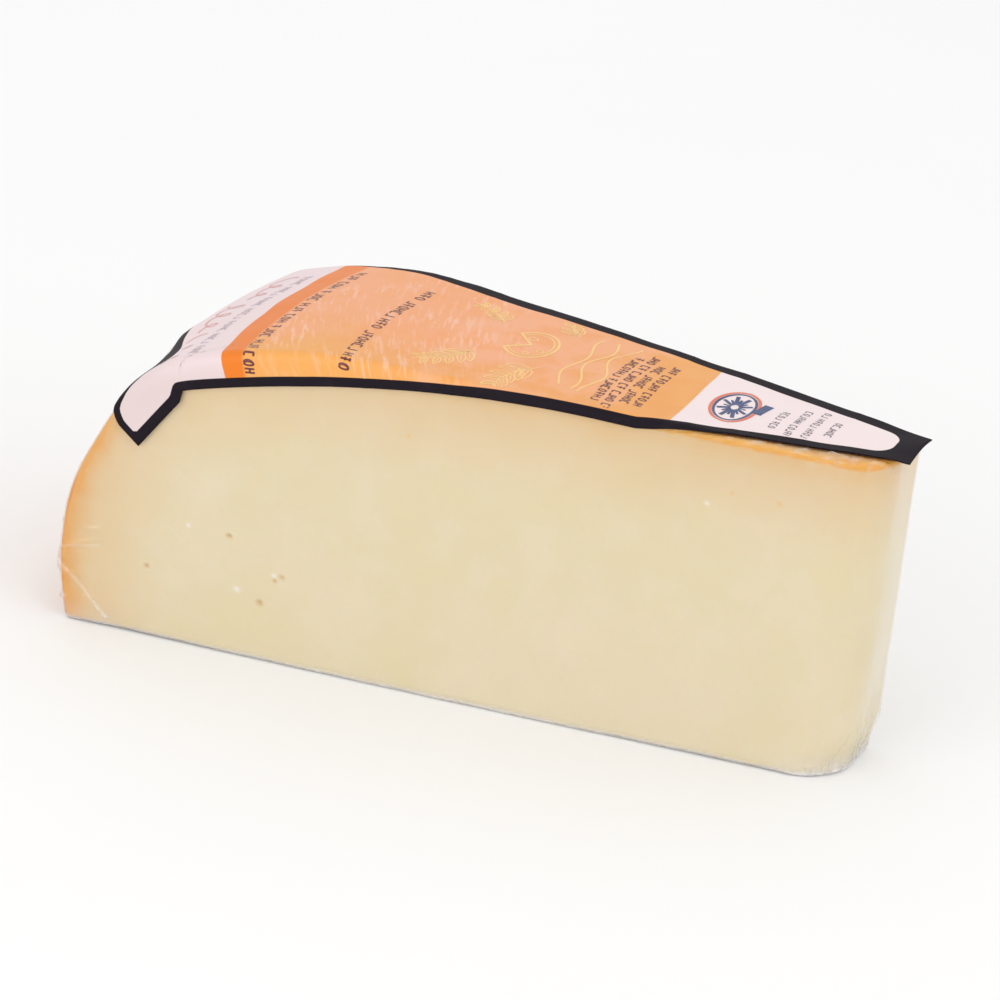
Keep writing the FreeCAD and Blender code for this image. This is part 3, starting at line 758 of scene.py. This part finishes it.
def eased_inset(spots, points):
    """How far inside the printed border's inner line each spot lies; negative on the border."""
    along, across = spots.T
    near_width = (NEAR_BORDER + 0.6 * smooth(-along, -40, -5)
                  + 0.15 * smooth(along, PINCH_SPOT[0], STEP_SPOT[0]))
    end_width = (END_BORDER + 0.5 * smooth(across, -27, -24)
                 + 0.8 * smooth(-np.abs(across + 19), -10, -2))
    near = line_distance(points, laid(NEAR_EDGE[::2], 0)) - near_width
    far = line_distance(points, laid(FAR_EDGE[::2], 0)) - FAR_BORDER
    tip = line_distance(points, laid(TIP_EDGE[::4], 0)) - TIP_BORDER
    end = line_distance(points, laid(END_EDGE, 0)) - end_width
    sides = eased_max(-near, -far, SIDE_CORNER)
    ends = eased_max(-tip, -end, SIDE_CORNER)
    corner = np.where(along < 60, NOSE_CORNER, RIM_CORNER)
    return -eased_max(sides, ends, corner)


def make_label():
    """The label as a thin closed sheet, which knows its places on the flat sheet."""
    spots = label_sheet_spots()
    rows, columns = spots.shape[:2]
    flat = spots.reshape(-1, 2)
    count = len(flat)
    under, upper = laid(flat, 0.0), laid(flat, LABEL_THICKNESS)
    index = np.arange(count).reshape(rows, columns)
    bottom, top = quads(index), quads(index, True) + count
    ring = np.concatenate([index[:-1, 0], index[-1, :-1], index[:0:-1, -1], index[0, :0:-1]])
    after = np.roll(ring, -1)
    wall = np.stack([ring, ring + count, after + count, after], -1)
    inset = eased_inset(flat, under)
    attributes = {"sheet_along": np.tile(flat[:, 0], 2), "sheet_across": np.tile(flat[:, 1], 2),
                  "sheet_inset": np.tile(inset, 2)}
    faces = np.concatenate([bottom, top, wall]).tolist()
    return mesh_piece("label_sheet", np.concatenate([under, upper]), faces, attributes)


# two tones each of the golden and the peach field, and what lies over them
GOLDEN = ((0.80, 0.345, 0.085), (0.82, 0.385, 0.12))
PEACH = ((0.83, 0.35, 0.14), (0.84, 0.375, 0.19))
NEAR_GLOW = (0.82, 0.375, 0.10)
STREAK = (0.90, 0.62, 0.50)
ART_WASH = (0.85, 0.42, 0.24)
BAND = (0.78, 0.20, 0.018)
# the white field at the nose and at the rim, its patches, and painted shade on it where it turns away on
# the flap
NOSE_WHITE = (0.86, 0.74, 0.735)
RIM_WHITE = (0.79, 0.645, 0.655)
WHITE_PATCH = (0.80, 0.63, 0.62)
SHADED_FLAP_WHITE = (0.695, 0.575, 0.57)
BORDER = ((0.013, 0.009, 0.014), (0.06, 0.045, 0.055))
# where the fields change along the sheet
NOSE_WHITE_END = 32.7
ART_SPAN = (42, 72)
STREAK_SPAN = (62, 97)
GLOW_SPAN = (72, 100)
BAND_START = 98.3
RIM_WHITE_START = 102.4
# the streaks' direction on the sheet
STREAK_WAY = (0.94, 0.34)


def label_look():
    """Printed fields of colour inside a dark border, with thin pale streaks."""
    look = Look("printed_label")
    along = look.attribute("sheet_along")
    across = look.attribute("sheet_across")
    inset = look.attribute("sheet_inset")
    broad = look.noise(22)
    mottle = look.noise(5, 4, 0.6)
    grain = look.noise(0.7, 2, 0.5)

    # thin pale streaks where the sheet doesn't touch the film
    ahead, aside = STREAK_WAY
    lengthwise = look.plus(look.times(along, ahead), look.times(across, -aside))
    crosswise = look.plus(look.times(along, aside), look.times(across, ahead))
    place = look.node("ShaderNodeCombineXYZ", {"X": look.times(lengthwise, 1.25),
                                               "Y": look.times(crosswise, 0.16)}).outputs[0]
    inputs = {"Vector": place, "Scale": 1.0, "Detail": 3.0, "Roughness": 0.6}
    streaks = look.node("ShaderNodeTexNoise", inputs).outputs["Fac"]
    zone = look.times(look.between(along, *STREAK_SPAN, 6), look.over(broad, 0.47, 0.12))
    streak = look.times(look.over(streaks, 0.56, 0.05), zone)

    tone = look.over(mottle, 0.5, 0.2)
    uneven = look.uneven(across, broad, 22.0)
    peachy = look.times(look.over(uneven, -13, 9), look.over(along, 50, 14))
    glow = look.times(look.between(along, *GLOW_SPAN, 6), look.under(uneven, -19, 4))
    wavy = look.uneven(along, mottle, 1.6)
    art = look.times(look.between(wavy, *ART_SPAN, 1.5), look.over(mottle, 0.46, 0.12))
    field = look.layered(
        look.mix(tone, *GOLDEN),
        (peachy, look.mix(tone, *PEACH)),
        (glow, NEAR_GLOW),
        (look.times(streak, 0.42), STREAK),
        (look.times(art, 0.55), ART_WASH),
        (look.over(along, BAND_START, 0.4), BAND))

    off_centre = look.plus(across, 2.0)
    nose_curve = look.times(look.times(off_centre, off_centre), 0.007)
    white_nose = look.under(look.minus(along, nose_curve), NOSE_WHITE_END, 0.08)
    rim_line = look.minus(along, look.times(across, 0.03))
    white_rim = look.over(rim_line, RIM_WHITE_START, 0.08)
    white = look.layered(
        NOSE_WHITE,
        (white_rim, RIM_WHITE),
        (look.times(look.over(broad, 0.5, 0.2), 0.25), WHITE_PATCH),
        # painted shade on the white where the flap turns down
        (look.times(look.under(across, -25, 3), white_rim), SHADED_FLAP_WHITE))
    colour = look.mix(look.math("MAXIMUM", white_nose, white_rim), field, white)

    dark = look.mix(look.times(look.over(mottle, 0.62, 0.08), 0.10), *BORDER)
    printed = look.over(inset, 0.0, 0.06)
    colour = look.mix(printed, dark, colour)
    height = look.plus(look.times(grain, 0.15), look.times(mottle, 0.8))
    gloss = look.plus(look.times(printed, 0.14), 0.08)
    rough = look.minus(look.plus(look.times(mottle, 0.15), 0.48), look.times(printed, 0.15))
    return look.surface(colour, rough, gloss, Normal=look.bump(height, 0.25, 0.3))


# ---- generic print
def ribbon(line, width):
    """A thin band of ink along a line of the flat sheet: its spots and four-sided faces."""
    line = np.array(line, float)
    heading = np.gradient(line, axis=0)
    heading /= np.maximum(np.linalg.norm(heading, axis=1, keepdims=True), 1e-9)
    side = np.stack([-heading[:, 1], heading[:, 0]], 1) * width / 2
    spots = np.concatenate([line - side, line + side])
    n = len(line)
    faces = [[i, i + 1, i + 1 + n, i + n] for i in range(n - 1)]
    return spots, faces


# the strokes of each kind of mark: lengthwise at a share of its width, or crosswise at a share of
# its size from the middle; kind 1 is a ring
STROKES = {2: (("length", 0), ("cross", 0.5)),
           3: (("length", 0), ("length", 1), ("cross", 0)),
           4: (("length", 1), ("cross", 0.5), ("cross", -0.5)),
           5: (("cross", 0), ("cross", -0.5), ("length", 0.5))}
# marks are narrow where they start before this
NARROW_ACROSS = -20.5


def marks(along, start, end, rhythm, size, ink, lean=0.0):
    """A row of small plain marks with gaps; a mark's number tells its kind and 0 leaves a gap."""
    made, at, number = [], start, 0
    while at + size * 0.6 <= end:
        kind = rhythm[number % len(rhythm)]
        number += 1
        wide = size * (0.6 if at > NARROW_ACROSS else 0.4)
        middle = along + lean * at
        if kind == 1:
            ring = arc_line((middle, at + wide / 2), wide / 2, 0, 360, size / wide, 15)
            made.append(ribbon(ring, ink))
        for way, share in STROKES.get(kind, ()):
            if way == "length":
                line = [(place, at + share * wide)
                        for place in np.linspace(middle - size / 2, middle + size / 2, 5)]
            else:
                line = [(middle + share * size, place) for place in np.linspace(at, at + wide, 4)]
            made.append(ribbon(line, ink))
        at += wide + size * (0.36 if kind else 0.1)
    return made


def mark_rows(rows, size, ink, lean=0.0):
    """Rows of marks, each with its place along the sheet, its start, its end and its rhythm."""
    return [mark for row in rows for mark in marks(*row, size, ink, lean)]


def arc_line(centre, radius, start, end, stretch=1.0, count=28):
    """An arc between two angles in degrees, stretched along the sheet."""
    turn = np.radians(np.linspace(start, end, count))
    return np.stack([centre[0] + radius * stretch * np.cos(turn), centre[1] + radius * np.sin(turn)], 1)


ART_INK = 0.26


def leaf(foot, heading, length, width):
    """A pointed leaf drawn in outline with its middle vein."""
    t = np.linspace(0, 1, 14)
    ahead = np.array([cos(heading), sin(heading)])
    aside = np.array([-ahead[1], ahead[0]])
    middle = foot + np.outer(t * length, ahead)
    belly = np.outer(np.sin(np.pi * t ** 0.8) * width / 2, aside)
    return [ribbon(middle + belly, ART_INK), ribbon(middle - belly, ART_INK),
            ribbon(middle[:10], ART_INK * 0.8)]


def spray(foot, heading, bend, size, count):
    """A curved stem with leaves in pairs."""
    t = np.linspace(0, 1, 24)
    turn = heading + bend * t
    steps = np.stack([np.cos(turn), np.sin(turn)], 1) * size / 24
    stem = foot + np.cumsum(steps, axis=0)
    made = [ribbon(stem, ART_INK)]
    for number in range(count):
        at = 3 + int(number * 19 / count)
        scale = size * (0.30 - 0.12 * number / count)
        for side in (-1, 1):
            made += leaf(stem[at], turn[at] + side * 0.75, scale, scale * 0.38)
    return made


def hill(along, start, end, height, phase):
    """A long gentle wave across the sheet, as the line of a hill."""
    across = np.linspace(start, end, 60)
    wave = np.sin(across / (end - start) * 2 * pi * 1.5 + phase)
    return ribbon(np.stack([along + height * wave, across], 1), 0.34)


ROUND_CENTRE = np.array([60.5, 1.5])
ROUND_RADIUS = 5.4
ROUND_SQUASH = 0.72
ROUND_HOLES = (((58.4, -0.2), 0.55), ((61.2, 3.8), 0.7), ((60.0, -2.0), 0.45), ((62.0, 0.2), 0.4))
# leaf sprays: foot, heading in degrees, bend, length, pairs of leaves
SPRAYS = (((55.5, -6.0), -40, -1.0, 13.0, 5), ((55.5, 8.6), 35, 0.9, 9.0, 4),
          ((66.5, -5.0), -75, 0.8, 12.5, 5), ((67.5, 7.0), 60, -0.9, 9.5, 4))


def artwork():
    """Line work of hills, leaf sprays and a cut round."""
    made = []
    for number, along in enumerate((47.5, 50.0, 52.2)):
        made.append(hill(along, -10.5 + number * 0.4, 10.5, 1.0 - 0.15 * number, number * 1.9))
    for radius, gap, ink in ((ROUND_RADIUS, 35, 0.42), (4.5, 40, ART_INK)):
        made.append(ribbon(arc_line(ROUND_CENTRE, radius, gap, 360 - gap, ROUND_SQUASH, 40), ink))
    for angle in (-37, 37):
        turn = radians(angle)
        way = np.array([ROUND_RADIUS * ROUND_SQUASH * cos(turn), ROUND_RADIUS * sin(turn)])
        made.append(ribbon(np.linspace(ROUND_CENTRE, ROUND_CENTRE + way, 8), 0.42))
    for spot, size in ROUND_HOLES:
        made.append(ribbon(arc_line(spot, size, 0, 360, 1.0, 16), 0.24))
    for foot, heading, bend, length, count in SPRAYS:
        made += spray(np.array(foot), radians(heading), bend, length, count)
    return made


# start, end, place along the sheet, height and number of turns
CURLS = ((-24, -11, 111.0, 1.7, 2.5), (-9, 4, 110.6, 1.9, 3.0), (6, 17, 109.6, 1.6, 2.5))


def flourish():
    """Loose curling strokes on the pale field by the rim."""
    made = []
    t = np.linspace(0, 1, 70)
    for start, end, along, height, turns in CURLS:
        curl = t * turns * 2 * pi
        across = start + (end - start) * t + 1.5 * np.sin(curl)
        line = np.stack([along + height * np.cos(curl) * (0.6 + 0.4 * t), across], 1)
        made.append(ribbon(line, 0.42))
    return made


BADGE_CENTRE = np.array([26.6, -1.0])
BADGE_SQUASH = 0.57


def badge_ring():
    """The outer ring of the round badge."""
    return [ribbon(arc_line(BADGE_CENTRE, 5.9, 0, 360, BADGE_SQUASH, 60), 0.5)]


def badge_star():
    """The badge's inner ring, its plain star and its short ribbon tail."""
    made = [ribbon(arc_line(BADGE_CENTRE, 5.2, 0, 360, 0.55, 60), 0.42)]
    for number in range(16):
        turn = radians(22.5 * number)
        heading = np.array([BADGE_SQUASH * cos(turn), sin(turn)])
        reach, ink = (4.3, 0.62) if number % 2 else (3.1, 0.4)
        made.append(ribbon(np.linspace(BADGE_CENTRE + heading, BADGE_CENTRE + heading * reach, 8), ink))
    return made + [ribbon(np.linspace((23.0, -1.6), (22.4, 2.6), 8), 1.5)]


def ink_look(name, colour, faint):
    """Ink that is worn faint here and there."""
    look = Look(name)
    wear = look.times(look.over(look.noise(1.4, 3, 0.6), 0.55, 0.12), 0.35)
    return look.surface(look.mix(wear, colour, faint), 0.36, 0.42)


# ink stays this far inside the border
INK_INSET = 0.35


def make_ink(name, shapes, colour, faint):
    """Ink as a very thin skin of printed bands, a hair above the label."""
    spots, faces, base = [], [], 0
    for shape_spots, shape_faces in shapes:
        spots.append(shape_spots)
        faces += [[base + i for i in face] for face in shape_faces]
        base += len(shape_spots)
    spots, faces = np.concatenate(spots), np.array(faces)
    points = laid(spots, INK_HEIGHT)
    clear = eased_inset(spots, points) > INK_INSET
    faces = faces[clear[faces].all(axis=1)]
    used = np.unique(faces)
    points, faces = points[used], np.searchsorted(used, faces)
    piece = mesh_piece(name, points, faces.tolist())
    work = bmesh.new()
    work.from_mesh(piece.data)
    inward = [face for face in work.faces if face.normal.dot(Vector(slope(
        np.array([face.calc_center_median()]) / MM)[0])) < 0]
    bmesh.ops.reverse_faces(work, faces=inward)
    work.to_mesh(piece.data)
    work.free()
    piece.data.materials.append(ink_look(name + "_tone", colour, faint))


TITLE_ROWS = ((97.1, -25.3, 18.6, (3, 1, 4, 0, 5, 2, 3, 0, 4, 1, 2, 5, 0)),
              (82.3, -21.8, 13.6, (1, 5, 3, 0, 2, 4, 3, 1, 5, 2, 0)))
BLOCK_ROWS = ((45.3, -11.7, 8.2, (2, 3, 5, 1, 4, 3, 2, 5, 0)),
              (43.3, -14.2, 10.0, (5, 4, 0, 1, 3, 2, 4, 0)),
              (41.2, -10.3, 6.4, (4, 1, 3, 5, 2, 0)),
              (39.1, -10.0, 7.4, (3, 2, 1, 5, 4, 0, 5)))
SMALL_ROWS = ((19.5, -5.0, 3.4, (1, 4, 5, 0, 2)), (16.8, -6.6, 5.7, (3, 5, 2, 1, 4, 0, 3)),
              (14.3, -5.2, 5.5, (2, 1, 5, 3, 0)), (11.5, -2.5, 2.9, (4, 1, 3, 2)))
GREY_ROWS = ((106.2, -22.5, 18.0, (4, 3, 1, 5, 0, 2, 4, 1, 3, 0)),)


def print_label():
    """Each ink with what it prints, its colour and its worn colour."""
    text = mark_rows(TITLE_ROWS, 1.5, 0.31, -0.014) + mark_rows(BLOCK_ROWS, 1.2, 0.28)
    make_ink("label_rows", text, (0.13, 0.03, 0.03), (0.28, 0.08, 0.05))
    make_ink("label_small_rows", mark_rows(SMALL_ROWS, 1.0, 0.2), (0.16, 0.13, 0.16), (0.36, 0.30, 0.33))
    make_ink("label_artwork", artwork(), (0.90, 0.56, 0.20), (0.88, 0.47, 0.17))
    make_ink("label_flourish", flourish(), (0.66, 0.30, 0.28), (0.74, 0.50, 0.48))
    grey = mark_rows(GREY_ROWS, 1.3, 0.22, -0.033)
    make_ink("label_grey_row", grey, (0.48, 0.38, 0.44), (0.62, 0.51, 0.55))
    make_ink("label_badge_ring", badge_ring(), (0.70, 0.15, 0.07), (0.75, 0.28, 0.18))
    make_ink("label_badge_star", badge_star(), (0.025, 0.05, 0.16), (0.10, 0.14, 0.26))


# ---- the film
# the label's near edge covers the film over this many of its lines
COVERED_LINES = 150


def film_relief(points):
    """How far the film stands off where it is gathered, how slack it is and how milky; the milk on the
    crinkles by the top edge is painted highlight.
    """
    x, _, z = points.T
    along, across = unrolled(points)
    edge = NEAR_EDGE[:COVERED_LINES]
    covered = np.interp(along, edge[:, 0], edge[:, 1]) < across + 0.4
    bare = 1 - covered * smooth(z, 5, 12)
    foot = smooth(-z, -16, -2)
    nose = smooth(x, NOSE_X - 13, NOSE_X - 1)
    rim = smooth(-x, 46, 60)
    low_rim = rim * smooth(-z, -34, -12)
    top_edge = smooth(z, TOP_Z - 3.5, TOP_Z - 0.3) * smooth(x, 14, 30) * bare
    gathers = ridges(points, 3.4, 21, (1, 1, 0.22)) * nose * foot
    folds = ridges(points, 5.5, 22, (0.35, 0.35, 1.2)) * low_rim
    crinkles = ridges(points, 3.6, 23, (0.8, 0.8, 1.6), 2.0) * top_edge
    slack = np.clip(nose * foot + 0.35 * low_rim + 0.9 * top_edge + 0.05 * rim, 0, 1)
    lift = 0.42 * gathers + 0.45 * folds + 0.32 * crinkles
    # the crinkles' milk is painted highlight
    return lift, slack, 0.35 * crinkles ** 2


# creases of the film on the near cut face: ends along X and in height, how milky, which paints a
# highlight along the crease
CREASES = [((-61.3, 9.9), (-57.6, 6.6), 0.5), ((-57.6, 6.6), (-52.6, 1.4), 0.4),
           ((-60.8, 11.8), (-54.5, 13.0), 0.35), ((-59.2, 13.4), (-53.6, 17.0), 0.1),
           ((-61.3, 5.0), (-59.4, 3.6), 0.3), ((-44.4, 18.9), (-41.9, 16.9), 0.2)]


def crease_path(crease, step):
    """Points along a crease of the near face, this far apart."""
    (x, height), (end_x, end_height), _ = crease
    count = max(3, int(hypot(end_x - x, end_height - height) / step) + 1)
    return np.array([near_face_point(x + t * (end_x - x), height + t * (end_height - height))
                     for t in np.linspace(0, 1, count)])


def make_film():
    """The film with its gathers, folds and creases."""
    start, faces = wedge_lattice(0.95)
    points = settle(start, FILM_DRAWN)
    spots = np.concatenate([crease_path(crease, 0.8) for crease in CREASES])
    points, faces = refined(points, faces, spots, reach=1.2)
    points = settle(points, FILM_DRAWN, 3)
    out = slope(points)
    lift, slack, milk_and_painted_light = film_relief(points)
    for crease in CREASES:
        away = line_distance(points, crease_path(crease, 0.3))
        lift += 0.16 * np.exp(-(away / 0.3) ** 2)
        slack = np.maximum(slack, 0.35 * np.exp(-(away / 1.8) ** 2))
        # painted highlight along the crease
        milk_and_painted_light = np.maximum(milk_and_painted_light, crease[2] * np.exp(-(away / 0.28) ** 2))
    points += out * (lift * smooth(points[:, 2], 0.1, 1.2))[:, None]
    points[:, 2] = np.maximum(points[:, 2], 0.02)
    # painted light: a pale milky lip and foot band that lift the contact shade along the base
    painted_light_lip = smooth(-points[:, 2], -1.1, -0.2)
    milk_and_painted_light += 0.5 * slack * smooth(-points[:, 2], -5, -0.4) + 0.6 * painted_light_lip
    milk_and_painted_light = np.clip(milk_and_painted_light, 0, 1)
    return mesh_piece("film_wrap", points, faces, {"slack": slack, "milk_and_painted_light": milk_and_painted_light})


cheese = make_cheese()
cheese.data.materials.append(cheese_look())
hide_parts("cheese_wedge")
film = make_film()
film.data.materials.append(film_look())
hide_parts("shrink_film")
label = make_label()
label.data.materials.append(label_look())
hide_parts("top_label")
print_label()


# ---- the room
def area_light(name, position, target, size, power):
    """A white rectangular lamp that shines from one place toward another."""
    data = bpy.data.lights.new(name, "AREA")
    data.shape = "RECTANGLE"
    data.size, data.size_y = size
    data.energy = power
    lamp = placed(name, data)
    lamp.location = position
    lamp.rotation_euler = (Vector(target) - Vector(position)).to_track_quat("-Z", "Y").to_euler()


FLOOR_HALF = 3.0


def make_room():
    """A pale floor just under the wedge, an even white room and two soft lamps."""
    floor = bpy.data.meshes.new("floor")
    low = cad_box[0][2] - 0.1 * MM
    corners = ((-1, -1), (1, -1), (1, 1), (-1, 1))
    floor.from_pydata([(x * FLOOR_HALF, y * FLOOR_HALF, low) for x, y in corners], [], [(0, 1, 2, 3)])
    piece = placed("floor", floor)
    look = Look("pale_floor")
    tone = look.mix(look.noise(120), (0.90, 0.90, 0.90), (0.93, 0.93, 0.93))
    floor.materials.append(look.surface(tone, 0.85, 0.2))

    world = bpy.data.worlds.new("soft_room")
    world.use_nodes = True
    background = world.node_tree.nodes["Background"]
    background.inputs["Color"].default_value = WHITE
    background.inputs["Strength"].default_value = 0.99
    bpy.context.scene.world = world
    area_light("key", (-0.3, -0.95, 0.42), (0, 0, 0.02), (0.7, 0.6), 2.0)
    area_light("fill", (0.85, -0.45, 0.35), (0, 0, 0.03), (0.6, 0.6), 1.3)


# azimuth, elevation and roll in degrees
VIEW_TURNS = (21.04, 23.48, 6.87)
VIEW_DISTANCE = 0.758
VIEW_TARGET = Vector((-0.0007, 0.0, 0.02645))
LENS = 180.0
SENSOR = 36.0


def make_camera():
    """The camera looks down on the near cut face, a little from the nose's side."""
    az, el, roll = (radians(turn) for turn in VIEW_TURNS)
    back = Vector((sin(az) * cos(el), -cos(az) * cos(el), sin(el)))
    level = Vector((cos(az), sin(az), 0))
    rise = back.cross(level)
    right = cos(roll) * level + sin(roll) * rise
    up = cos(roll) * rise - sin(roll) * level
    data = bpy.data.cameras.new("camera")
    data.lens = LENS
    data.sensor_width = SENSOR
    data.clip_start = 0.01
    data.clip_end = 20
    camera = placed("camera", data)
    turn = Matrix((right, up, back)).transposed().to_4x4()
    camera.matrix_world = Matrix.Translation(VIEW_TARGET + back * VIEW_DISTANCE) @ turn
    bpy.context.scene.camera = camera


make_room()
make_camera()
bpy.context.scene.view_settings.view_transform = "Standard"
